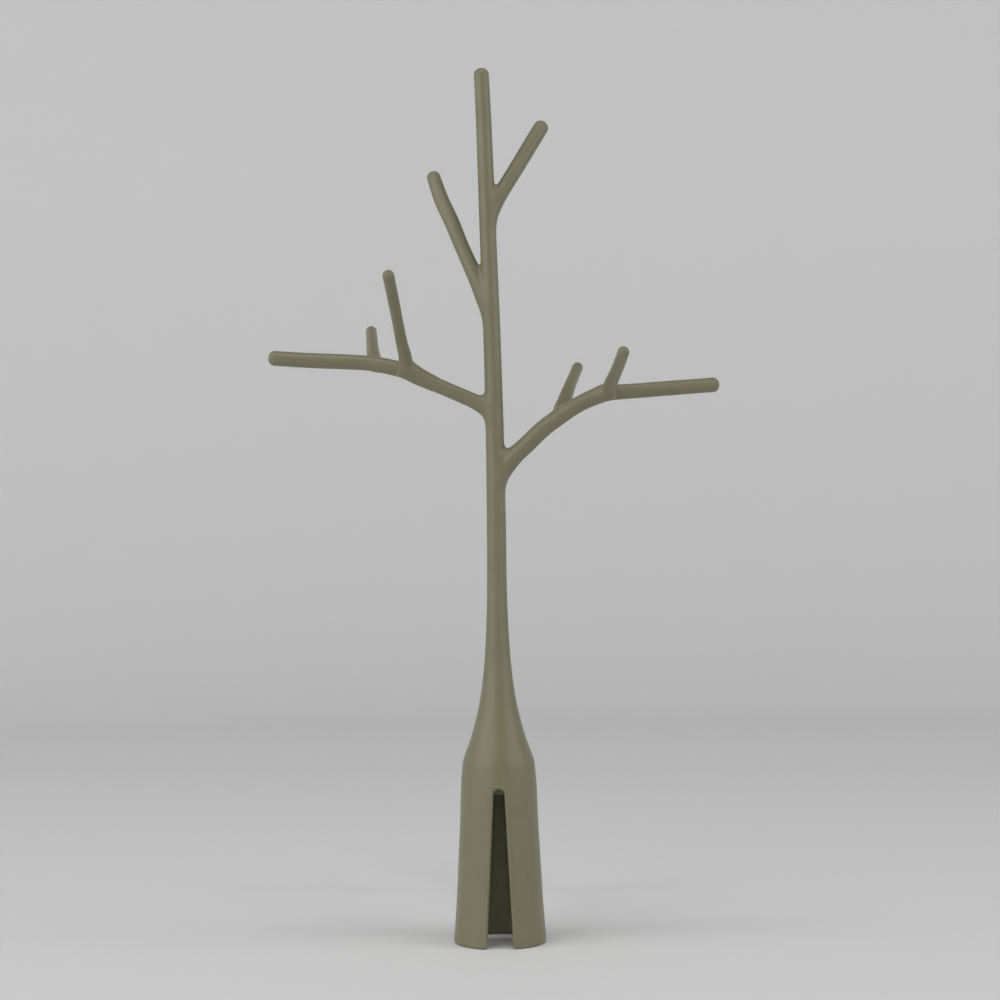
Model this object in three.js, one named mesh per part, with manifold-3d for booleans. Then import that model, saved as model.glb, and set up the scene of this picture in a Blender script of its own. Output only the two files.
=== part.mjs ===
// Drying tree for a bottle drying rack: a moulded plastic tree that stands on a hollow three-legged
// foot and holds small bottle parts on the tips of its branches. Millimetres, +Z up, +X to the right,
// +Y to the back.
// The origin is on the foot's axis, in the plane that the foot stands on.
//
// The real tree is a single moulding. It is built here limb by limb: each limb is one solid, and
// neighbouring limbs meet with a fine gap.
import * as THREE from 'three';
import { mergeVertices } from 'three/addons/utils/BufferGeometryUtils.js';
import Module from 'manifold-3d';

const manifold = await Module();
manifold.setup();

// ---- Driving dimensions ----------------------------------------------------------------------

const GAP = 0.3; // between limbs that meet

// Foot: a bell-shaped skirt with three legs, a solid crown above them, and a flare into the trunk.
const LEG_COUNT = 3;
const WALL = 1.8; // thickness of the skirt's wall
const CEILING_Z = 42.3; // top of the hollow inside the skirt
const FLARE_TOP_Z = 92; // where the flare has become the trunk
const FLARE_TOP_RADIUS = 3.04;
const FOOT_OUTLINE = [ // [height, radius] from the rim up to the trunk
  [0, 13.1], [11.5, 12.25], [23, 11.65], [34.5, 11.05], [43, 10.78], [48.6, 10.38], [51.4, 10.02],
  [54.2, 9.12], [57.1, 8.02], [62.7, 6.4], [68.4, 5.14], [74, 4.32], [80, 3.7], [86, 3.33],
  [FLARE_TOP_Z, FLARE_TOP_RADIUS],
];

// Slots between the legs: tall inverted V's with a round top.
const SLOT_HALF_WIDTH_AT_RIM = 3.75;
const SLOT_TOP_RADIUS = 1.6;
const SLOT_TOP_Z = 44.8;
const SLOT_FLOOR_RADIUS = 8.6; // above the ceiling the slot is a recess this far from the axis

// Limbs. Stations are [x, y, z, radius] along a limb's centreline, from its root to its tip. Each branch
// starts inside what it grows from and leaves it at a slant.
const TRUNK = [
  [0, 0, FLARE_TOP_Z, FLARE_TOP_RADIUS], [0, 0, 98, 2.88], [0, 0, 105, 2.79], [0, 0, 119, 2.73],
  [-0.08, 0, 131, 2.64], [-0.22, 0, 145, 2.58], [-0.42, 0, 156, 2.53], [-0.64, 0, 167.4, 2.49],
  [-0.98, 0, 180, 2.45], [-1.53, 0, 198.4, 2.37], [-2, 0, 215, 2.3], [-2.5, 0, 232, 2.22],
  [-3.1, 0, 247.4, 2.12],
];
const LEADER_START_Z = 217;

const UPPER_LEFT = [
  [-0.6, 0, 171.5, 1], [-1, 0.1, 175, 1.75], [-1.8, 0.3, 178.8, 2.2], [-3.1, 0.7, 182.6, 2.33],
  [-5.95, 1.7, 189.9, 2.2], [-9.05, 3.1, 197.15, 2.1], [-11.9, 4.8, 204.4, 2.18],
  [-14.95, 7.5, 211.4, 2.14], [-17.6, 10.4, 219.5, 1.9],
];
const UPPER_RIGHT = [
  [-1.5, 0, 198.5, 1], [-1.15, 0.1, 203.5, 1.8], [-0.6, 0.2, 206, 2.05], [0.9, 0.6, 209.6, 2.12],
  [4.85, 1.8, 216.35, 2.12], [8.9, 3.5, 223.1, 2.14], [14.75, 6.4, 232.9, 2.08],
];

const LEFT_ARM = [
  [0, 0, 141.5, 1], [-0.2, 0, 146, 1.85], [-1, 0, 148.8, 2.2], [-2.9, 0, 151.2, 2.3],
  [-6.6, 0, 153.35, 2.12], [-13.8, 0, 156.55, 2.06], [-21.1, 0, 159.9, 2.12], [-25, 0.2, 161.6, 2.15],
  [-28.6, 0.7, 162.75, 2.2], [-32.5, 1.1, 163.6, 2.18], [-36.4, 1.2, 164.2, 2.13],
  [-44.4, 1, 164.7, 2.16], [-52.4, 0.6, 165.05, 2.15], [-64.2, 0, 165.85, 2.1],
];
const LEFT_FORK_X = -28.5;
const LEFT_FRONT = [
  [-18.5, 0.2, 158.7, 0.9], [-22.6, -0.1, 160.9, 1.7], [-24.9, -2, 163.2, 2.02], [-25.2, -4.4, 165.7, 1.84],
  [-25.9, -8, 169, 1.66], [-26.7, -13.9, 174.2, 1.56], [-27.5, -20, 179.4, 1.58],
  [-28.75, -29.1, 187.1, 1.64],
];
const LEFT_REAR = [
  [-33.4, 0.8, 163.4, 1], [-34.2, 4, 165, 1.95], [-34.8, 8, 166.9, 1.9], [-35.3, 13, 169.2, 1.75],
  [-36.5, 28.3, 175.6, 1.6],
];

const RIGHT_ARM = [
  [0, 0, 121, 1], [0.05, 0, 127, 1.85], [1.15, 0, 131.6, 2.5], [3.25, 0, 135.2, 2.7],
  [5.95, 0, 138.1, 2.52], [8.9, 0, 140.75, 2.48], [14.8, 0, 146.1, 2.42], [21.4, 0, 150.6, 2.3],
  [24.9, 0, 152.5, 2.28], [28.6, 0.2, 154, 2.24], [32.4, 0.8, 155.05, 2.2], [36.2, 1.7, 155.4, 2.16],
  [40.1, 2.6, 155.68, 2.13], [48, 4.3, 156.3, 2.12], [64.2, 8.2, 157.55, 2.1],
];
const RIGHT_FORK_X = 34;
const RIGHT_FRONT = [
  [25.5, 0, 152.8, 0.9], [29.6, -0.4, 154.6, 1.8], [32.1, -2.4, 156, 2.05], [32.6, -6.1, 157.7, 1.88],
  [33.2, -9.9, 159.2, 1.76], [33.7, -13.6, 160.5, 1.7], [34.35, -19, 162.4, 1.68], [35.1, -28.2, 165.3, 1.63],
];
const RIGHT_REAR = [
  [16.8, 0, 147.6, 1], [18.4, 2.4, 149.8, 2.15], [19.6, 6, 152.7, 2.05], [20.7, 10.5, 155.6, 1.85],
  [22, 16, 158.7, 1.68], [24.6, 28.3, 164.4, 1.6],
];

// Height of a limb's domed tip over its radius.
const TIP_HEIGHT_RATIO = 0.85;
const FRONT_TIP_HEIGHT_RATIO = 1;

// Fineness of the faceted surfaces.
const LIMB_SIDES = 16;
const LIMB_STEP = 5; // between rings along a limb
const TIP_RINGS = 4;
const SPAN_STEPS = 20; // for measuring along a limb, between two stations
const FOOT_SIDES = 48;
const FOOT_OUTLINE_STEP = 2.6;
const FOOT_SPAN_STEPS = 40; // for measuring the foot's outline, between two of its points
const SLOT_ARCH_SEGMENTS = 8;
const WELD_DISTANCE = 1e-4; // corners closer than this are one corner
const FINE_SHARE = 1e-6; // of a limb's length, to which a place along it is found
const OVERSIZE = 20; // how far cutting shapes reach past what they cut

// ---- Plastic ---------------------------------------------------------------------------------

function moulded() {
  return new THREE.MeshStandardMaterial({ color: 0x7a765c, roughness: 0.48, metalness: 0 });
}

// ---- From three.js geometry to solids and back -------------------------------------------------

function toSolid(geometry) {
  const bare = geometry.clone();
  bare.deleteAttribute('normal');
  bare.deleteAttribute('uv');
  const merged = mergeVertices(bare, WELD_DISTANCE);
  const corners = merged.index.array;
  const triVerts = [];
  for (let i = 0; i < corners.length; i += 3) {
    const [a, b, c] = corners.slice(i, i + 3);
    if (a !== b && b !== c && c !== a) triVerts.push(a, b, c);
  }
  return new manifold.Manifold(new manifold.Mesh({
    numProp: 3,
    vertProperties: new Float32Array(merged.attributes.position.array),
    triVerts: new Uint32Array(triVerts),
  }));
}

function toGeometry(solid) {
  const mesh = solid.getMesh();
  const geometry = new THREE.BufferGeometry();
  geometry.setAttribute('position', new THREE.BufferAttribute(mesh.vertProperties, mesh.numProp));
  geometry.setIndex(new THREE.BufferAttribute(mesh.triVerts, 1));
  geometry.computeVertexNormals();
  return geometry;
}

// A node whose own origin is at the point where the limb starts.
function limbNode(name, solid, start) {
  const mesh = new THREE.Mesh(toGeometry(solid).translate(-start.x, -start.y, -start.z), moulded());
  mesh.name = name;
  mesh.position.copy(start);
  return mesh;
}

// ---- Limbs -----------------------------------------------------------------------------------

// A limb's centreline through its stations, its length, and its radius at a distance from its root.
function limb(stations) {
  const points = stations.map(([x, y, z]) => new THREE.Vector3(x, y, z));
  const curve = new THREE.CatmullRomCurve3(points, false, 'centripetal');
  curve.arcLengthDivisions = (stations.length - 1) * SPAN_STEPS;
  const distances = curve.getLengths().filter((_, i) => i % SPAN_STEPS === 0);
  const length = distances[distances.length - 1];
  const radiusAt = (distance) => {
    const i = THREE.MathUtils.clamp(distances.findIndex((d) => d >= distance), 1, distances.length - 1);
    const share = (distance - distances[i - 1]) / (distances[i] - distances[i - 1]);
    return THREE.MathUtils.lerp(stations[i - 1][3], stations[i][3], THREE.MathUtils.clamp(share, 0, 1));
  };
  return { curve, length, radiusAt };
}

// Distance along a limb at which one coordinate reaches a value.
function distanceWhere({ curve, length }, axis, value) {
  const rising = Math.sign(curve.getPointAt(1)[axis] - curve.getPointAt(0)[axis]);
  let [near, far] = [0, 1];
  while (far - near > FINE_SHARE) {
    const middle = (near + far) / 2;
    if ((curve.getPointAt(middle)[axis] - value) * rising < 0) near = middle;
    else far = middle;
  }
  return near * length;
}

function pointAt({ curve, length }, distance) {
  return curve.getPointAt(distance / length);
}

// The rod between two distances along a limb: a straight lathed rod, bent onto the limb's centreline.
// grow makes the rod that much larger all round, as a cutter for whatever meets it.
function rod({ curve, length, radiusAt }, { from = 0, to = length, tipRatio = TIP_HEIGHT_RATIO, grow = 0 }) {
  const [start, end] = [from, to + grow];
  const tipHeight = tipRatio * (radiusAt(to) + grow);
  const rings = Math.ceil((end - tipHeight - start) / LIMB_STEP);

  const profile = [new THREE.Vector2(0, start)];
  for (let i = 0; i <= rings; i += 1) {
    const distance = THREE.MathUtils.lerp(start, end - tipHeight, i / rings);
    profile.push(new THREE.Vector2(radiusAt(distance) + grow, distance));
  }
  for (let i = 1; tipRatio && i < TIP_RINGS; i += 1) {
    const angle = (Math.PI / 2) * (i / TIP_RINGS);
    const radius = (radiusAt(to) + grow) * Math.cos(angle);
    profile.push(new THREE.Vector2(radius, end - tipHeight * (1 - Math.sin(angle))));
  }
  profile.push(new THREE.Vector2(0, end));

  const growth = curve.getPointAt(1).sub(curve.getPointAt(0)).normalize();
  const across = Math.abs(growth.y) < 0.5 ? new THREE.Vector3(0, 1, 0) : new THREE.Vector3(1, 0, 0);
  const geometry = new THREE.LatheGeometry(profile, LIMB_SIDES);
  const position = geometry.attributes.position;
  const vertex = new THREE.Vector3();
  for (let i = 0; i < position.count; i += 1) {
    vertex.fromBufferAttribute(position, i);
    const share = THREE.MathUtils.clamp(vertex.y / length, 0, 1);
    const tangent = curve.getTangentAt(share);
    const inPlane = new THREE.Vector3().crossVectors(across, tangent).normalize();
    const outOfPlane = new THREE.Vector3().crossVectors(inPlane, tangent);
    const point = curve.getPointAt(share)
      .addScaledVector(tangent, vertex.y - share * length)
      .addScaledVector(inPlane, vertex.x)
      .addScaledVector(outOfPlane, vertex.z);
    position.setXYZ(i, point.x, point.y, point.z);
  }
  return toSolid(geometry);
}

// ---- Foot ------------------------------------------------------------------------------------

const footCurve = new THREE.SplineCurve(FOOT_OUTLINE.map(([z, r]) => new THREE.Vector2(r, z)));

// Points of the foot's outer surface from one height to another, shifted sideways by inset.
function footPoints(fromZ, toZ, inset = 0) {
  const count = Math.ceil((toZ - fromZ) / FOOT_OUTLINE_STEP);
  const fine = footCurve.getPoints(FOOT_OUTLINE.length * FOOT_SPAN_STEPS);
  const radiusAt = (z) => {
    const i = Math.max(1, fine.findIndex((point) => point.y >= z));
    const share = (z - fine[i - 1].y) / (fine[i].y - fine[i - 1].y);
    return THREE.MathUtils.lerp(fine[i - 1].x, fine[i].x, share);
  };
  return Array.from({ length: count + 1 }, (_, i) => {
    const z = THREE.MathUtils.lerp(fromZ, toZ, i / count);
    return new THREE.Vector2(radiusAt(z) - inset, z);
  });
}

// A lathe shape turned so that its axis is +Z.
function turned(profile) {
  return toSolid(new THREE.LatheGeometry(profile, FOOT_SIDES).rotateX(Math.PI / 2));
}

// The cutter for one slot, reaching out from the axis at an angle in degrees from +Y.
function slotCutter(angle) {
  const outline = new THREE.Shape();
  const shoulderZ = SLOT_TOP_Z - SLOT_TOP_RADIUS;
  outline.moveTo(-SLOT_HALF_WIDTH_AT_RIM, 0);
  outline.lineTo(-SLOT_HALF_WIDTH_AT_RIM, -OVERSIZE);
  outline.lineTo(SLOT_HALF_WIDTH_AT_RIM, -OVERSIZE);
  outline.lineTo(SLOT_HALF_WIDTH_AT_RIM, 0);
  outline.lineTo(SLOT_TOP_RADIUS, shoulderZ);
  outline.absarc(0, shoulderZ, SLOT_TOP_RADIUS, 0, Math.PI);
  outline.closePath();
  const extrusion = { depth: OVERSIZE, bevelEnabled: false, curveSegments: SLOT_ARCH_SEGMENTS };
  const cutter = new THREE.ExtrudeGeometry(outline, extrusion);
  cutter.translate(0, 0, SLOT_FLOOR_RADIUS);
  cutter.rotateX(Math.PI / 2).rotateZ(Math.PI + THREE.MathUtils.degToRad(angle));
  return toSolid(cutter);
}

// The part of the skirt between two slots, centred on +Y.
function legSolid() {
  const topZ = CEILING_Z - GAP;
  const outside = footPoints(0, topZ);
  const inside = footPoints(0, topZ, WALL).reverse();
  const skirt = turned([...outside, ...inside, outside[0]]);
  const halfAngle = 180 / LEG_COUNT;
  const reach = OVERSIZE / Math.cos(THREE.MathUtils.degToRad(halfAngle));
  const wedge = new THREE.Shape();
  wedge.moveTo(0, 0);
  wedge.lineTo(reach * Math.sin(THREE.MathUtils.degToRad(halfAngle)), OVERSIZE);
  wedge.lineTo(-reach * Math.sin(THREE.MathUtils.degToRad(halfAngle)), OVERSIZE);
  wedge.closePath();
  const sector = toSolid(new THREE.ExtrudeGeometry(wedge, { depth: topZ + OVERSIZE, bevelEnabled: false }));
  return skirt.intersect(sector).subtract(slotCutter(halfAngle)).subtract(slotCutter(-halfAngle));
}

function crownSolid() {
  const outside = footPoints(CEILING_Z, FLARE_TOP_Z - GAP);
  let crown = turned([new THREE.Vector2(0, CEILING_Z), ...outside, new THREE.Vector2(0, FLARE_TOP_Z - GAP)]);
  for (let i = 0; i < LEG_COUNT; i += 1) crown = crown.subtract(slotCutter(180 + (i * 360) / LEG_COUNT));
  return crown;
}

function foot() {
  const group = new THREE.Group();
  group.add(limbNode('foot_crown', crownSolid(), new THREE.Vector3(0, 0, CEILING_Z)));
  const legGeometry = toGeometry(legSolid());
  ['rear_leg', 'front_left_leg', 'front_right_leg'].forEach((name, i) => {
    const leg = new THREE.Mesh(legGeometry, moulded());
    leg.name = name;
    leg.rotation.z = (i * 2 * Math.PI) / LEG_COUNT;
    group.add(leg);
  });
  return group;
}

// ---- Tree ------------------------------------------------------------------------------------

const trunk = limb(TRUNK);
const trunkCutter = rod(trunk, { grow: GAP });

function trunkNodes() {
  const group = new THREE.Group();
  const leaderStart = distanceWhere(trunk, 'z', LEADER_START_Z);
  group.add(limbNode('trunk', rod(trunk, { to: leaderStart - GAP, tipRatio: 0 }), pointAt(trunk, 0)));
  group.add(limbNode('leader', rod(trunk, { from: leaderStart }), pointAt(trunk, leaderStart)));
  return group;
}

// A limb that grows out of what the cutter stands for.
function grownNode(name, stations, cutter, tipRatio = TIP_HEIGHT_RATIO) {
  const branch = limb(stations);
  return limbNode(name, rod(branch, { tipRatio }).subtract(cutter), pointAt(branch, 0));
}

// An arm is a bough from the trunk to its fork, an outer prong that carries on from the bough, and
// two prongs that leave it to the front and to the rear.
function armNodes(side, stations, forkX, frontStations, rearStations) {
  const group = new THREE.Group();
  const arm = limb(stations);
  const fork = distanceWhere(arm, 'x', forkX);
  const bough = rod(arm, { to: fork - GAP, tipRatio: 0 }).subtract(trunkCutter);
  group.add(limbNode(`${side}_bough`, bough, pointAt(arm, 0)));
  group.add(limbNode(`${side}_outer_prong`, rod(arm, { from: fork }), pointAt(arm, fork)));
  const armCutter = rod(arm, { grow: GAP });
  group.add(grownNode(`${side}_front_prong`, frontStations, armCutter, FRONT_TIP_HEIGHT_RATIO));
  group.add(grownNode(`${side}_rear_prong`, rearStations, armCutter));
  return group;
}

const tree = new THREE.Group();
tree.name = 'drying_tree';
tree.add(foot());
tree.add(trunkNodes());
tree.add(grownNode('upper_left_branch', UPPER_LEFT, trunkCutter));
tree.add(grownNode('upper_right_branch', UPPER_RIGHT, trunkCutter));
tree.add(armNodes('left', LEFT_ARM, LEFT_FORK_X, LEFT_FRONT, LEFT_REAR));
tree.add(armNodes('right', RIGHT_ARM, RIGHT_FORK_X, RIGHT_FRONT, RIGHT_REAR));

export default tree;
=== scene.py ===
"""Looks of the drying tree: a moulded plastic tree that stands on a hollow three-legged foot.

The tree is one moulding, so its surface is one skin. The skin is described by a distance field: a stem
and its limbs are bent rods with rounded tips, and they flow into each other where they meet. The foot
is then hollowed and slotted. Each CAD limb gets its own stretch of that skin as a closed piece.

The tree's shapes are in millimetres, in the frame's own axes, and are turned into metres as each mesh is
made. The stage, the lights and the camera are in metres.
"""
import math

import bmesh
import bpy
import numpy as np
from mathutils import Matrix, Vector


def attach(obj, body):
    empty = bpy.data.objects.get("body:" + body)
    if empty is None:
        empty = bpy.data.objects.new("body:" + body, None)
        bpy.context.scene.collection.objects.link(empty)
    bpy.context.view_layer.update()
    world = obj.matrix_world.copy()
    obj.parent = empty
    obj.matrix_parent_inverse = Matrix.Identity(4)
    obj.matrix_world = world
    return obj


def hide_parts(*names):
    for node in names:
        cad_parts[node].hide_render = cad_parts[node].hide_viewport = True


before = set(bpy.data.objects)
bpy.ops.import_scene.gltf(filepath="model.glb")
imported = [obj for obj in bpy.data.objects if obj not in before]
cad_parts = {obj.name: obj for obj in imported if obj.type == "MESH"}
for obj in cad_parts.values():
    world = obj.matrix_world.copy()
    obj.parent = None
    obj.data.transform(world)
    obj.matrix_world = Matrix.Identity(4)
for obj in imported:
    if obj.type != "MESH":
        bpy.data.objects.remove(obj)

MM = 0.001
X, Y, Z = 0, 1, 2
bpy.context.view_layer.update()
CELL_SCALE = 1.0  # a coarser skin while trying things

# ---- The tree's shape -------------------------------------------------------------------------
# Stations along a limb's centreline, from its root to its tip: x, y, z and radius.

STEM = [
    (0, 0, 0, 13.1), (0, 0, 11.5, 12.25), (0, 0, 23, 11.65), (0, 0, 34.5, 11.05), (0, 0, 43, 10.78),
    (0, 0, 48.6, 10.38), (0, 0, 51.4, 10.02), (0, 0, 54.2, 9.12), (0, 0, 57.1, 8.02), (0, 0, 62.7, 6.4),
    (0, 0, 68.4, 5.14), (0, 0, 74, 4.32), (0, 0, 80, 3.7), (0, 0, 86, 3.33), (0, 0, 92, 3.04),
    (0, 0, 98, 2.88), (0, 0, 105, 2.79), (0, 0, 119, 2.73), (-0.08, 0, 131, 2.64), (-0.22, 0, 145, 2.58),
    (-0.42, 0, 156, 2.53), (-0.64, 0, 167.4, 2.49), (-0.98, 0, 180, 2.45), (-1.53, 0, 198.4, 2.37),
    (-2, 0, 215, 2.3), (-2.5, 0, 232, 2.22), (-3.1, 0, 247.4, 2.12),
]
UPPER_LEFT = [
    (-0.6, 0, 171.5, 1), (-1, 0.1, 175, 1.75), (-1.8, 0.3, 178.8, 2.2), (-3.1, 0.7, 182.6, 2.33),
    (-4.4, 1.1, 186.2, 2.27), (-5.95, 1.7, 189.9, 2.2), (-9.05, 3.1, 197.15, 2.1),
    (-11.9, 4.8, 204.4, 2.18), (-14.95, 7.5, 211.4, 2.14), (-17.6, 10.4, 219.5, 1.9),
]
UPPER_RIGHT = [
    (-1.5, 0, 198.5, 1), (-1.15, 0.1, 203.5, 1.8), (-0.6, 0.2, 206, 2.05), (0.9, 0.6, 209.6, 2.12),
    (2.8, 1.1, 213, 2.12), (4.85, 1.8, 216.35, 2.12), (6.9, 2.6, 219.7, 2.14), (8.9, 3.5, 223.1, 2.14),
    (12.85, 5.4, 229.7, 2.16), (14.75, 6.4, 232.9, 2.08),
]
# A bough ends in a knuckle that turns forward. Its outer prong comes out from behind the knuckle, and its
# front prong grows from it.
LEFT_BOUGH = [
    (0, 0, 141.5, 1), (-0.2, 0, 146, 1.85), (-1, 0, 148.8, 2.2), (-2.9, 0, 151.2, 2.3),
    (-6.6, 0, 153.35, 2.12), (-10.2, 0, 154.95, 2.06), (-13.8, 0, 156.55, 2.06), (-17.5, 0, 158.2, 2.1),
    (-21.1, -0.1, 159.9, 2.12), (-23.8, -0.5, 161.3, 2.16), (-26, -0.9, 162.1, 2.2),
    (-27.6, -1.1, 162.5, 2.2),
]
LEFT_OUTER = [
    (-19.5, 0, 159.2, 1.6), (-22, 0, 160.3, 2), (-25, 0.2, 161.6, 2.13), (-28.6, 0.7, 162.75, 2.2),
    (-32.5, 1.1, 163.6, 2.18), (-36.4, 1.2, 164.2, 2.13), (-44.4, 1, 164.7, 2.16),
    (-52.4, 0.6, 165.05, 2.15), (-64.2, 0, 165.85, 2.1),
]
LEFT_FRONT = [
    (-18.5, 0.2, 158.7, 0.9), (-22.6, -0.1, 160.9, 1.7), (-24.9, -2, 163.2, 2.02),
    (-25.2, -4.4, 165.7, 1.84), (-25.9, -8, 169, 1.66), (-26.7, -13.9, 174.2, 1.56),
    (-27.5, -20, 179.4, 1.58), (-28.75, -29.1, 187.1, 1.64),
]
LEFT_REAR = [
    (-33.4, 0.8, 163.4, 1), (-34.2, 4, 165, 1.95), (-34.8, 8, 166.9, 1.9), (-35.3, 13, 169.2, 1.75),
    (-36.5, 28.3, 175.6, 1.6),
]
RIGHT_BOUGH = [
    (0, 0, 121, 1), (0.05, 0, 127, 1.85), (1.15, 0, 131.6, 2.5), (3.25, 0, 135.2, 2.7),
    (5.95, 0, 138.1, 2.52), (8.9, 0, 140.75, 2.48), (11.75, 0, 143.5, 2.46), (14.8, 0, 146.1, 2.42),
    (18.2, 0, 148.4, 2.35), (21.4, 0, 150.6, 2.3), (24.9, 0, 152.5, 2.28), (28.2, -0.3, 154, 2.25),
    (31, -0.9, 154.95, 2.25), (34.2, -1.2, 155.3, 2.2),
]
RIGHT_OUTER = [
    (23, 0, 151.5, 1.6), (25.5, 0, 152.8, 2.1), (28.6, 0.2, 154, 2.22), (32.4, 0.8, 155.05, 2.2),
    (36.2, 1.7, 155.4, 2.16), (40.1, 2.6, 155.68, 2.13), (48, 4.3, 156.3, 2.12), (64.2, 8.2, 157.55, 2.1),
]
RIGHT_FRONT = [
    (25.5, 0, 152.8, 0.9), (29.6, -0.4, 154.6, 1.8), (32.1, -2.4, 156, 2.05), (32.6, -6.1, 157.7, 1.88),
    (33.2, -9.9, 159.2, 1.76), (33.7, -13.6, 160.5, 1.7), (34.35, -19, 162.4, 1.68),
    (35.1, -28.2, 165.3, 1.63),
]
RIGHT_REAR = [
    (16.8, 0, 147.6, 1), (18.4, 2.4, 149.8, 2.15), (19.6, 6, 152.7, 2.05), (20.7, 10.5, 155.6, 1.85),
    (22, 16, 158.7, 1.68), (24.6, 28.3, 164.4, 1.6),
]

TIP_HEIGHT = 0.85  # of a limb's domed tip, over its radius
ROUND_TIP_HEIGHT = 1.0  # of the prongs that point forward
KNUCKLE_HEIGHT = 0.5  # of the end of a bough

# Where a limb leaves what it grows from: the width of the web between them, and how much wider it gets
# between surfaces that face each other, as in a crotch.
BOUGH_JOINT = (1.1, 2.5)
UPPER_JOINT = (1.1, 1.0)
PRONG_JOINT = (1.5, 0)
WIDE_PRONG_JOINT = (2.6, 0)
REAR_JOINT = (1.6, 0)
OUTER_JOINT = (0.35, 0)

# The foot's hollow and the slots between its legs.
LEGS = 3
WALL = 1.8
CEILING = 42.3
SLOT_TOP = 44.3
SLOT_TOP_RADIUS = 1.52
SLOT_RIM_HALF_WIDTH = 3.68
SLOT_FLOOR = 7.2  # above the ceiling a slot is a recess down to this distance from the axis
EDGE = 0.75  # rounding of the foot's edges
CORNER = 1.2  # rounding inside the hollow

# Where the skin is parted into pieces.
LEG_TOP = CEILING - 1
CROWN_TOP = 92
TRUNK_TOP = 217


# ---- Smooth lines -----------------------------------------------------------------------------

def catmull_rom(stations, per_span=24):
    """A smooth line through stations: x, y, z, and values that change along with them.

    It is a centripetal Catmull-Rom spline, by the Barry-Goldman pyramid."""
    p = np.asarray(stations, float)
    p = np.vstack([2 * p[0] - p[1], p, 2 * p[-1] - p[-2]])
    knots = np.concatenate([[0], np.cumsum(np.sqrt(np.linalg.norm(np.diff(p[:, :3], axis=0), axis=1)))])
    line = []
    for i in range(1, len(p) - 2):
        t = np.linspace(knots[i], knots[i + 1], per_span, endpoint=i == len(p) - 3)[:, None]
        k = knots[i - 1:i + 3]
        a = [((k[j + 1] - t) * p[i - 1 + j] + (t - k[j]) * p[i + j]) / (k[j + 1] - k[j]) for j in range(3)]
        b = [((k[j + 2] - t) * a[j] + (t - k[j]) * a[j + 1]) / (k[j + 2] - k[j]) for j in range(2)]
        line.append(((k[2] - t) * b[0] + (t - k[1]) * b[1]) / (k[2] - k[1]))
    return np.vstack(line)


# ---- The distance field -----------------------------------------------------------------------

FAR = 50.0  # more than any distance to the skin inside a piece's box
MIN_WEB = 0.01  # the web of a limb that has none
TINY = 1e-9  # the least length that is divided by


class Rod:
    """A rod of varying radius along a smooth line, with a domed tip."""

    STEP = 1.0  # length of the straight segments that stand for its centreline
    RADII_PER_STEP = 8  # how finely its radius is tabled
    REACH = 5.0  # how far from its surface it still matters

    def __init__(self, stations, joint=(0, 0), tip_height=TIP_HEIGHT, endless_root=False):
        fine = catmull_rom(stations)
        along = np.concatenate([[0], np.cumsum(np.linalg.norm(np.diff(fine[:, :3], axis=0), axis=1))])
        self.length = along[-1]
        steps = int(self.length / self.STEP)
        self.table = np.linspace(0, self.length, steps * self.RADII_PER_STEP)
        self.radii = np.interp(self.table, along, fine[:, 3])
        self.slopes = np.gradient(self.radii, self.table)
        self.distances = np.linspace(0, self.length, steps + 1)
        self.points = np.stack([np.interp(self.distances, along, fine[:, i]) for i in range(3)], axis=1)
        self.web, self.widening = joint
        self.endless_root = endless_root
        self.tip_height = tip_height
        self.dome_start = self.length - tip_height * self.radii[-1]

    def at(self, distance):
        """The point, direction and radius of the rod at a distance from its root."""
        i = int(np.clip(np.searchsorted(self.distances, distance), 1, len(self.distances) - 1))
        step = self.points[i] - self.points[i - 1]
        share = (distance - self.distances[i - 1]) / (self.distances[i] - self.distances[i - 1])
        radius = np.interp(distance, self.table, self.radii)
        return self.points[i - 1] + step * share, step / np.linalg.norm(step), radius

    def where(self, axis, value):
        """The distance from its root at which a coordinate last passes a value."""
        beyond = self.points[:, axis] > value
        i = np.flatnonzero(beyond[1:] != beyond[:-1])[-1]
        share = (value - self.points[i, axis]) / (self.points[i + 1, axis] - self.points[i, axis])
        return self.distances[i] + share * (self.distances[i + 1] - self.distances[i])

    def segments_near(self, low, high):
        """Which of its segments pass close to a box."""
        reach = np.interp(self.distances, self.table, self.radii)[:, None] + self.REACH
        close = np.all((self.points > low - reach) & (self.points < high + reach), axis=1)
        found = np.flatnonzero(close[:-1] | close[1:])
        return range(found[0], found[-1] + 1) if len(found) else range(0)

    def field(self, points, segments):
        """Its field at points, and the way that its surface faces there."""
        nearest = np.full(len(points), np.inf)
        along = np.zeros(len(points))
        outward = np.zeros((len(points), 3))
        last = len(self.points) - 2
        for i in segments:
            step = self.points[i + 1] - self.points[i]
            size = np.linalg.norm(step)
            offset = points - self.points[i]
            share = offset @ (step / size**2)
            if i < last:
                share = np.minimum(share, 1)
            if i > 0 or not self.endless_root:
                share = np.maximum(share, 0)
            offset -= share[:, None] * step
            square = np.einsum("ij,ij->i", offset, offset)
            closer = square < nearest
            nearest[closer] = square[closer]
            along[closer] = self.distances[i] + share[closer] * size
            outward[closer] = offset[closer]
        away = np.sqrt(nearest)
        outward /= np.maximum(away, TINY)[:, None]
        radius = np.interp(along, self.table, self.radii)
        slope = np.interp(along, self.table, self.slopes)
        beyond = np.maximum(along - self.dome_start, 0) / self.tip_height
        side = (away - radius) / np.sqrt(1 + slope**2)
        return np.where(beyond > 0, np.hypot(away, beyond) - radius, side), outward


def union(a, b, width):
    """Two fields joined, with a fillet of about that width."""
    overlap = np.maximum(width - np.abs(a - b), 0)
    return np.minimum(a, b) - overlap**2 / (4 * width)


def intersection(a, b, width):
    """What two fields have in common, with its edge rounded by about that width."""
    return -union(-a, -b, width)


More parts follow.
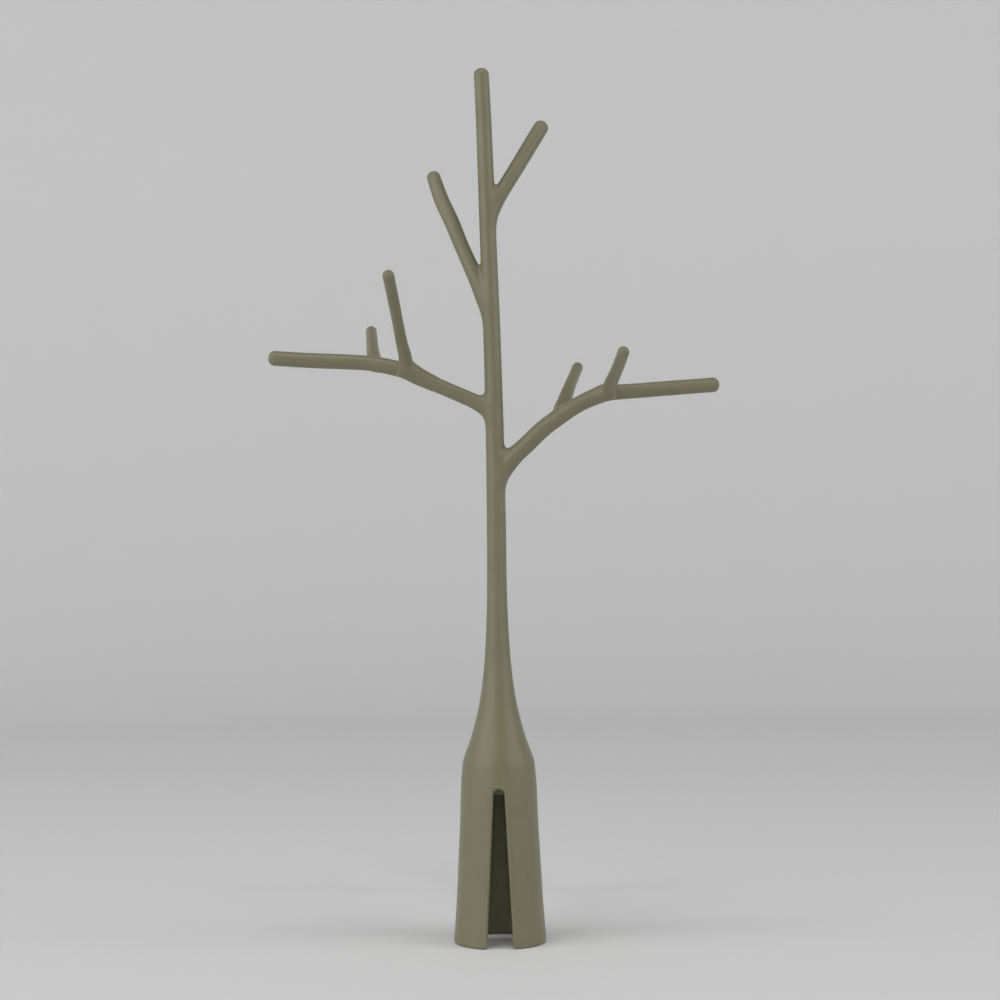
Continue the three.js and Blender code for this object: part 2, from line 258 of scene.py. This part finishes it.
STEM_ROD = Rod(STEM, endless_root=True)
LEFT_BOUGH_ROD = Rod(LEFT_BOUGH, BOUGH_JOINT, KNUCKLE_HEIGHT)
RIGHT_BOUGH_ROD = Rod(RIGHT_BOUGH, BOUGH_JOINT, KNUCKLE_HEIGHT)
UPPER_LEFT_ROD = Rod(UPPER_LEFT, UPPER_JOINT)
UPPER_RIGHT_ROD = Rod(UPPER_RIGHT, UPPER_JOINT)
LEFT_FRONT_ROD = Rod(LEFT_FRONT, WIDE_PRONG_JOINT, ROUND_TIP_HEIGHT)
RIGHT_FRONT_ROD = Rod(RIGHT_FRONT, PRONG_JOINT, ROUND_TIP_HEIGHT)
LEFT_OUTER_ROD = Rod(LEFT_OUTER, OUTER_JOINT)
RIGHT_OUTER_ROD = Rod(RIGHT_OUTER, OUTER_JOINT)
LEFT_REAR_ROD = Rod(LEFT_REAR, REAR_JOINT)
RIGHT_REAR_ROD = Rod(RIGHT_REAR, REAR_JOINT)
RODS = (
    STEM_ROD, LEFT_BOUGH_ROD, RIGHT_BOUGH_ROD, UPPER_LEFT_ROD, UPPER_RIGHT_ROD, LEFT_FRONT_ROD,
    RIGHT_FRONT_ROD, LEFT_OUTER_ROD, RIGHT_OUTER_ROD, LEFT_REAR_ROD, RIGHT_REAR_ROD,
)


def slot_field(points, angle):
    """A slot between two legs: negative inside it. The angle is round from the front."""
    outward = points[:, X] * math.sin(angle) - points[:, Y] * math.cos(angle)
    sideways = points[:, X] * math.cos(angle) + points[:, Y] * math.sin(angle)
    z = points[:, Z]
    shoulder = SLOT_TOP - SLOT_TOP_RADIUS
    narrowing = (SLOT_RIM_HALF_WIDTH - SLOT_TOP_RADIUS) / shoulder
    straight = (np.abs(sideways) - (SLOT_RIM_HALF_WIDTH - z * narrowing)) / math.hypot(1, narrowing)
    arch = np.hypot(sideways, z - shoulder) - SLOT_TOP_RADIUS
    return intersection(np.where(z < shoulder, straight, arch), SLOT_FLOOR - outward, EDGE)


def foot_field(outer, points):
    """The foot's field, from that of its outer form: hollowed, slotted and ended at the rim."""
    z = points[:, Z]
    hollow = intersection(outer + WALL, z - CEILING, CORNER)
    foot = intersection(outer, -hollow, EDGE)
    for i in range(LEGS):
        foot = intersection(foot, -slot_field(points, i * math.tau / LEGS), EDGE)
    return intersection(foot, -z, EDGE)


def skin_field(points, stretches):
    """The whole tree's field, negative inside it, from the stretches of rods that pass near the points."""
    value = np.full(len(points), FAR)
    facing = np.zeros((len(points), 3))
    for rod, segments in stretches:
        field, outward = rod.field(points, segments)
        agreement = np.linalg.norm(facing + outward, axis=1) / 2
        web = rod.web + rod.widening * (1 - agreement)
        facing[field < value] = outward[field < value]
        value = union(value, field, np.maximum(web, MIN_WEB))
    low = points[:, Z] < SLOT_TOP + 2 * EDGE
    if np.any(low):
        value[low] = foot_field(value[low], points[low])
    return value


def stretches_near(low, high):
    """The rods that pass close to a box, each with its segments there."""
    near = [(rod, rod.segments_near(low, high)) for rod in RODS]
    return [(rod, segments) for rod, segments in near if segments]


# ---- From the field to meshes -----------------------------------------------------------------

BLOCK = 6  # grid cells along a side of a block
BLOCK_REACH = 2  # a block is worked out in full where the skin is within this many of its sides
PROJECTIONS = 2  # how often the vertices are moved towards the surface
LARGEST_MOVE = 0.5  # of a vertex at a time, in cells
LEAST_SLOPE = 0.05  # of the field, squared
GRADIENT_STEP = 0.02
CUT_TOLERANCE = 1e-5
MERGE_DISTANCE = 0.025  # vertices closer than this become one

# A cell's corners, and its edges as pairs of corners that differ along one axis.
CORNERS = [(x, y, z) for x in (0, 1) for y in (0, 1) for z in (0, 1)]
CELL_EDGES = [(a, b) for a in range(8) for b in range(a + 1, 8)
              if sum(abs(CORNERS[a][i] - CORNERS[b][i]) for i in range(3)) == 1]


def grid_field(axes, cell, stretches):
    """The field on a grid. Blocks that the skin can't reach take the value at one of their points."""
    coarse_axes = [a[::BLOCK] for a in axes]
    coarse = np.stack(np.meshgrid(*coarse_axes, indexing="ij"), axis=-1)
    values = skin_field(coarse.reshape(-1, 3), stretches).reshape(coarse.shape[:3])
    for axis in range(3):
        values = np.repeat(values, BLOCK, axis)
    values = values[:len(axes[0]), :len(axes[1]), :len(axes[2])].copy()
    at = np.argwhere(np.abs(values) < BLOCK * cell * BLOCK_REACH)
    points = np.stack([axes[i][at[:, i]] for i in range(3)], axis=1)
    values[at[:, 0], at[:, 1], at[:, 2]] = skin_field(points, stretches)
    return values


def surface_net(values, origin, cell):
    """Quads round the zero level of values on a grid: one vertex in each cell that the level crosses."""
    shape = tuple(n - 1 for n in values.shape)
    corner_values = [values[x:x + shape[0], y:y + shape[1], z:z + shape[2]] for x, y, z in CORNERS]
    inside = sum((v < 0).astype(np.int8) for v in corner_values)
    crossed = (inside > 0) & (inside < len(CORNERS))
    index = np.full(shape, -1)
    index[crossed] = np.arange(crossed.sum())
    corner_values = [v[crossed] for v in corner_values]
    total = np.zeros((crossed.sum(), 3))
    count = np.zeros(crossed.sum())
    for a, b in CELL_EDGES:
        va, vb = corner_values[a], corner_values[b]
        hit = (va < 0) != (vb < 0)
        share = np.where(hit, va / np.where(hit, va - vb, 1), 0)
        start, end = np.array(CORNERS[a], float), np.array(CORNERS[b], float)
        total[hit] += (start + share[:, None] * (end - start))[hit]
        count[hit] += 1
    vertices = (np.argwhere(crossed) + total / count[:, None]) * cell + origin
    return vertices, np.vstack([net_quads(values, index, axis, leaving)
                                for axis in range(3) for leaving in (True, False)])


def net_quads(values, index, axis, leaving):
    """The quads across grid edges along an axis, where the level is left or entered on the way up it.

    The index gives each cell's vertex."""
    second, third = (axis + 1) % 3, (axis + 2) % 3
    near = np.take(values, range(values.shape[axis] - 1), axis) < 0
    far = np.take(values, range(1, values.shape[axis]), axis) < 0
    at = np.argwhere((near & ~far) if leaving else (~near & far))
    at = at[(at[:, second] > 0) & (at[:, third] > 0)]
    at = at[(at[:, second] < index.shape[second]) & (at[:, third] < index.shape[third])]
    ring = []
    for back_second, back_third in ((1, 1), (0, 1), (0, 0), (1, 0)):
        cells = at.copy()
        cells[:, second] -= back_second
        cells[:, third] -= back_third
        ring.append(index[cells[:, 0], cells[:, 1], cells[:, 2]])
    return np.stack(ring if leaving else ring[::-1], axis=1)


def gradient(points, stretches):
    """The field's slopes along X, Y and Z at points."""
    slopes = []
    for axis in range(3):
        shift = np.zeros(3)
        shift[axis] = GRADIENT_STEP
        ahead, behind = skin_field(points + shift, stretches), skin_field(points - shift, stretches)
        slopes.append((ahead - behind) / (2 * GRADIENT_STEP))
    return np.stack(slopes, axis=1)


def skin_patch(low, high, cell):
    """The skin inside a box, as vertices on the surface itself and quads, with the rods near it."""
    cell *= CELL_SCALE
    stretches = stretches_near(low, high)
    axes = [np.arange(low[i], high[i] + cell, cell) for i in range(3)]
    vertices, quads = surface_net(grid_field(axes, cell, stretches), np.array([a[0] for a in axes]), cell)
    for _ in range(PROJECTIONS):
        slope = gradient(vertices, stretches)
        square = np.maximum(np.einsum("ij,ij->i", slope, slope), LEAST_SLOPE)
        move = (skin_field(vertices, stretches) / square)[:, None] * slope
        length = np.linalg.norm(move, axis=1, keepdims=True)
        vertices = vertices - move * np.minimum(1, LARGEST_MOVE * cell / np.maximum(length, TINY))
    return vertices, quads, stretches


def cut_open(mesh, point, direction, reach):
    """Cuts the mesh open along a plane through a point, no further from it than reach."""
    point, direction = Vector(point), Vector(direction)
    geometry = set(f for f in mesh.faces if (f.calc_center_median() - point).length < reach)
    for f in list(geometry):
        geometry.update(f.verts)
        geometry.update(f.edges)
    cut = bmesh.ops.bisect_plane(
        mesh, geom=list(geometry), dist=CUT_TOLERANCE, plane_co=point, plane_no=direction
    )
    edges = [e for e in cut["geom_cut"] if isinstance(e, bmesh.types.BMEdge)]
    bmesh.ops.split_edges(mesh, edges=edges)


def keep_island(mesh, seed):
    """Keeps only the connected part of the mesh that comes closest to a seed point."""
    seed = Vector(seed)
    start = min(mesh.verts, key=lambda v: (v.co - seed).length_squared)
    kept, front = {start}, [start]
    while front:
        for edge in front.pop().link_edges:
            for v in edge.verts:
                if v not in kept:
                    kept.add(v)
                    front.append(v)
    bmesh.ops.delete(mesh, geom=[v for v in mesh.verts if v not in kept], context="VERTS")


def close_holes(mesh):
    """Puts a flat cap on each open end, facing as its skin does."""
    following = {}
    for edge in mesh.edges:
        if edge.is_boundary:
            corner = edge.link_loops[0]
            following[corner.link_loop_next.vert] = corner.vert
    caps = []
    while following:
        first = next(iter(following))
        ring = [first]
        while following[ring[-1]] is not first:
            ring.append(following.pop(ring[-1]))
        del following[ring[-1]]
        caps.append(mesh.faces.new(ring))
    bmesh.ops.triangulate(mesh, faces=caps)


def closed_stretch(low, high, cell, cuts, seed):
    """The stretch of skin in a box that holds the seed, ended and closed at the cuts.

    Returns its points, its faces and the skin's normals at the points. Each face is its corners, whether
    it is skin rather than a cap, and its own normal."""
    vertices, quads, stretches = skin_patch(np.array(low, float), np.array(high, float), cell)
    mesh = bmesh.new()
    made = [mesh.verts.new(v) for v in vertices]
    for quad in quads:
        mesh.faces.new([made[i] for i in quad])
    for cut in cuts:
        cut_open(mesh, *cut)
    keep_island(mesh, seed)
    bmesh.ops.remove_doubles(mesh, verts=mesh.verts, dist=MERGE_DISTANCE)
    for f in mesh.faces:
        f.smooth = True
    close_holes(mesh)
    mesh.verts.index_update()
    points = np.array([v.co for v in mesh.verts])
    faces = [([v.index for v in f.verts], f.smooth, np.array(f.normal)) for f in mesh.faces]
    mesh.free()
    normals = gradient(points, stretches)
    normals /= np.maximum(np.linalg.norm(normals, axis=1, keepdims=True), TINY)
    return points, faces, normals


def add_piece(name, shape, turn=0.0):
    """A piece of the tree from its shape, turned about the foot's axis, in place of the CAD node."""
    points, faces, normals = shape
    c, s = math.cos(turn), math.sin(turn)
    turned = np.array([[c, s, 0], [-s, c, 0], [0, 0, 1]])
    data = bpy.data.meshes.new(name)
    data.from_pydata((points @ turned * MM).tolist(), [], [f[0] for f in faces])
    data.polygons.foreach_set("use_smooth", [f[1] for f in faces])
    corner_normals = []
    for corners, is_skin, face_normal in faces:
        corner_normals.extend(normals[i] if is_skin else face_normal for i in corners)
    data.normals_split_custom_set((np.array(corner_normals) @ turned).tolist())
    data.materials.append(PLASTIC)
    made = bpy.data.objects.new(name + "_skin", data)
    bpy.context.scene.collection.objects.link(made)
    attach(made, "root")
    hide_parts(name)


# ---- Plastic ----------------------------------------------------------------------------------

def plastic():
    """Satin grey-taupe plastic: faintly mottled in tone and gloss, with a very fine moulded grain."""
    material = bpy.data.materials.new("moulded_plastic")
    material.use_nodes = True
    nodes, links = material.node_tree.nodes, material.node_tree.links
    shader = nodes["Principled BSDF"]
    place = nodes.new("ShaderNodeTexCoord")

    def noise(scale, detail):
        """A noise texture's value over the tree. The scale is per metre."""
        texture = nodes.new("ShaderNodeTexNoise")
        texture.inputs["Scale"].default_value = scale
        texture.inputs["Detail"].default_value = detail
        links.new(place.outputs["Object"], texture.inputs["Vector"])
        return texture.outputs["Fac"]

    tones = nodes.new("ShaderNodeValToRGB")
    darker, lighter = tones.color_ramp.elements
    darker.position, darker.color = 0.3, (0.186, 0.174, 0.103, 1)
    lighter.position, lighter.color = 0.7, (0.2, 0.187, 0.112, 1)
    links.new(noise(scale=160, detail=4), tones.inputs["Fac"])
    links.new(tones.outputs["Color"], shader.inputs["Base Color"])

    gloss = nodes.new("ShaderNodeMapRange")
    gloss.inputs["To Min"].default_value = 0.35
    gloss.inputs["To Max"].default_value = 0.42
    links.new(noise(scale=420, detail=3), gloss.inputs["Value"])
    links.new(gloss.outputs["Result"], shader.inputs["Roughness"])

    grain = nodes.new("ShaderNodeBump")
    grain.inputs["Strength"].default_value = 0.25
    grain.inputs["Distance"].default_value = 0.00002
    links.new(noise(scale=2600, detail=2), grain.inputs["Height"])
    links.new(grain.outputs["Normal"], shader.inputs["Normal"])
    return material


PLASTIC = plastic()


# ---- Pieces -----------------------------------------------------------------------------------

LIMB_CELL = 0.45
FOOT_CELL = 0.33
CUT_MARGIN = 1.2  # how far past a limb's own radius a cut across it reaches
BOX_MARGIN = 5.5  # of a limb's box, round its centreline
ROD_MARGIN = 1  # how far past its ends a stretch's centreline counts towards its box
RIM_MARGIN = 1  # of the rear leg's box, round the foot's rim
LEVEL_MARGIN = 2  # of a foot piece's box, past its level cuts
REAR_LEG_FRONT = 2  # the rear leg's box starts this far behind the foot's axis
SEED_DISTANCE = 5  # how far into a bough's own piece its seed point is


def across(rod, distance):
    """A cut across a rod at a distance from its root."""
    point, direction, radius = rod.at(distance)
    return point, direction, radius + CUT_MARGIN


def level(z):
    """A level cut right through the foot or the trunk."""
    return (0, 0, z), (0, 0, 1), FAR


def box_round(stretches):
    """The box round stretches of rods, with a margin. Each is a rod, its first and its last distance."""
    lows, highs = [], []
    for rod, start, end in stretches:
        inside = rod.points[(rod.distances >= start - ROD_MARGIN) & (rod.distances <= end + ROD_MARGIN)]
        lows.append(inside.min(0))
        highs.append(inside.max(0))
    return np.min(lows, 0) - BOX_MARGIN, np.max(highs, 0) + BOX_MARGIN


def foot_pieces():
    """The three legs, which are one shape turned about the foot's axis, and the crown that joins them."""
    rim = STEM_ROD.radii[0]
    low = (-rim - RIM_MARGIN, REAR_LEG_FRONT, -RIM_MARGIN)
    high = (rim + RIM_MARGIN, rim + RIM_MARGIN, LEG_TOP + LEVEL_MARGIN)
    leg = closed_stretch(low, high, FOOT_CELL, [level(LEG_TOP)], (0, rim - WALL / 2, LEG_TOP / 2))
    add_piece("rear_leg", leg)
    add_piece("front_left_leg", leg, math.tau / LEGS)
    add_piece("front_right_leg", leg, -math.tau / LEGS)
    low, high = (-rim, -rim, LEG_TOP - LEVEL_MARGIN), (rim, rim, CROWN_TOP + LEVEL_MARGIN)
    middle = (0, 0, (LEG_TOP + CROWN_TOP) / 2)
    crown = closed_stretch(low, high, FOOT_CELL, [level(LEG_TOP), level(CROWN_TOP)], middle)
    add_piece("foot_crown", crown)


# A limb is its rod, with the distance from its root at which its own piece starts. That is clear of the
# fillet round its root, which belongs to what it grows from.

def limb(rod, axis, value):
    """A limb whose own piece starts where a coordinate passes a value."""
    return rod, rod.where(axis, value)


FRONT_START = -6
REAR_START = 5.5
LEADER = limb(STEM_ROD, Z, TRUNK_TOP)
UPPER_LEFT_BRANCH = limb(UPPER_LEFT_ROD, Z, 200)
UPPER_RIGHT_BRANCH = limb(UPPER_RIGHT_ROD, Z, 217)
LEFT_BOUGH_LIMB = limb(LEFT_BOUGH_ROD, X, -8.5)
LEFT_PRONGS = {
    "outer": limb(LEFT_OUTER_ROD, X, -37.5),
    "front": limb(LEFT_FRONT_ROD, Y, FRONT_START),
    "rear": limb(LEFT_REAR_ROD, Y, REAR_START),
}
RIGHT_BOUGH_LIMB = limb(RIGHT_BOUGH_ROD, X, 8)
RIGHT_PRONGS = {
    "outer": limb(RIGHT_OUTER_ROD, X, 40),
    "front": limb(RIGHT_FRONT_ROD, Y, FRONT_START),
    "rear": limb(RIGHT_REAR_ROD, Y, REAR_START),
}


def trunk_piece():
    """The trunk, with the roots of all that grows from it."""
    grown = [UPPER_LEFT_BRANCH, UPPER_RIGHT_BRANCH, LEFT_BOUGH_LIMB, RIGHT_BOUGH_LIMB]
    ends = [across(*each) for each in grown + [LEADER]] + [level(CROWN_TOP)]
    roots = [(rod, 0, start) for rod, start in grown]
    box = box_round(roots + [(STEM_ROD, CROWN_TOP, LEADER[1])])
    add_piece("trunk", closed_stretch(*box, LIMB_CELL, ends, (0, 0, (CROWN_TOP + TRUNK_TOP) / 2)))


def tip_piece(name, rod, start):
    """The piece from a cut across a rod to its tip."""
    low, high = box_round([(rod, start, rod.length)])
    middle = rod.at((start + rod.length) / 2)[0]
    add_piece(name, closed_stretch(low, high, LIMB_CELL, [across(rod, start)], middle))


def bough_pieces(side, bough, prongs):
    """A bough, with the roots of its prongs, and then the prongs themselves."""
    rod, start = bough
    ends = [across(*bough)] + [across(*prong) for prong in prongs.values()]
    roots = [(prong, 0, prong_start) for prong, prong_start in prongs.values()]
    box = box_round([(rod, start, rod.length)] + roots)
    add_piece(side + "_bough", closed_stretch(*box, LIMB_CELL, ends, rod.at(start + SEED_DISTANCE)[0]))
    for kind, prong in prongs.items():
        tip_piece(f"{side}_{kind}_prong", *prong)


foot_pieces()
trunk_piece()
tip_piece("leader", *LEADER)
tip_piece("upper_left_branch", *UPPER_LEFT_BRANCH)
tip_piece("upper_right_branch", *UPPER_RIGHT_BRANCH)
bough_pieces("left", LEFT_BOUGH_LIMB, LEFT_PRONGS)
bough_pieces("right", RIGHT_BOUGH_LIMB, RIGHT_PRONGS)


# ---- Stage, light and camera ------------------------------------------------------------------

TREE_MIDDLE = Vector((0, 0, 0.12))


def paper():
    """Plain pale paper, nearly matt."""
    material = bpy.data.materials.new("pale_paper")
    material.use_nodes = True
    shader = material.node_tree.nodes["Principled BSDF"]
    shader.inputs["Base Color"].default_value = (0.78, 0.78, 0.78, 1)
    shader.inputs["Roughness"].default_value = 0.9
    shader.inputs["Specular IOR Level"].default_value = 0.1
    return material


def backdrop():
    """A pale round floor that sweeps up into a low wall all round, wide enough for a camera on any side."""
    radius, wall_top = 1.65, 0.9
    centre_y = -0.65
    bend = 0.35  # radius of the sweep from the floor to the wall
    sides, bend_steps = 96, 16
    bend_angles = [math.pi / 2 * i / bend_steps for i in range(bend_steps + 1)]
    profile = [(radius - bend + bend * math.sin(a), bend - bend * math.cos(a)) for a in bend_angles]
    profile.append((radius, wall_top))
    around = [math.tau * i / sides for i in range(sides)]
    points = [(r * math.cos(a), centre_y + r * math.sin(a), z) for r, z in profile for a in around]
    faces = [range(sides)]
    for low in range(0, sides * (len(profile) - 1), sides):
        for i in range(sides):
            j = (i + 1) % sides
            faces.append((low + i, low + sides + i, low + sides + j, low + j))
    data = bpy.data.meshes.new("backdrop")
    data.from_pydata(points, [], faces)
    data.polygons.foreach_set("use_smooth", [False] + [True] * (len(faces) - 1))
    data.materials.append(paper())
    made = bpy.data.objects.new("backdrop", data)
    bpy.context.scene.collection.objects.link(made)


def softbox(name, azimuth, elevation, distance, size, power):
    """A rectangular soft light aimed at the tree. Azimuth is round from the camera's side, to the right."""
    a, e = math.radians(azimuth), math.radians(elevation)
    away = Vector((math.sin(a) * math.cos(e), -math.cos(a) * math.cos(e), math.sin(e)))
    light = bpy.data.lights.new(name, "AREA")
    light.shape = "RECTANGLE"
    light.size, light.size_y = size
    light.energy = power
    made = bpy.data.objects.new(name, light)
    made.location = TREE_MIDDLE + away * distance
    made.rotation_euler = away.to_track_quat("Z", "Y").to_euler()
    made.visible_camera = False
    bpy.context.scene.collection.objects.link(made)


def studio_air():
    """A weak even light from everywhere."""
    world = bpy.data.worlds.new("studio")
    world.use_nodes = True
    background = world.node_tree.nodes["Background"]
    background.inputs["Color"].default_value = (1, 1, 1, 1)
    background.inputs["Strength"].default_value = 0.12
    bpy.context.scene.world = world


def viewer():
    """A camera straight in front of the tree, level with its middle and rolled by half a degree."""
    camera = bpy.data.cameras.new("camera")
    camera.lens = 82.62
    camera.sensor_width = 36
    camera.clip_start, camera.clip_end = 0.01, 20
    made = bpy.data.objects.new("camera", camera)
    made.location = (0.0011, -0.65, 0.125)
    made.rotation_euler = (math.radians(90), math.radians(0.55), 0)
    bpy.context.scene.collection.objects.link(made)
    bpy.context.scene.camera = made


backdrop()
softbox("left_softbox", azimuth=-52, elevation=24, distance=1.2, size=(1.5, 1.2), power=9)
softbox("right_softbox", azimuth=64, elevation=24, distance=1.2, size=(1.1, 1.0), power=4.9)
softbox("overhead_strip", azimuth=0, elevation=84, distance=1.1, size=(1.2, 0.12), power=1.9)
softbox("front_fill", azimuth=0, elevation=66, distance=1.5, size=(1.0, 0.4), power=1.4)
softbox("front_spark", azimuth=8, elevation=62, distance=1.0, size=(0.05, 0.05), power=0.65)
studio_air()
viewer()
bpy.context.scene.view_settings.view_transform = "Standard"
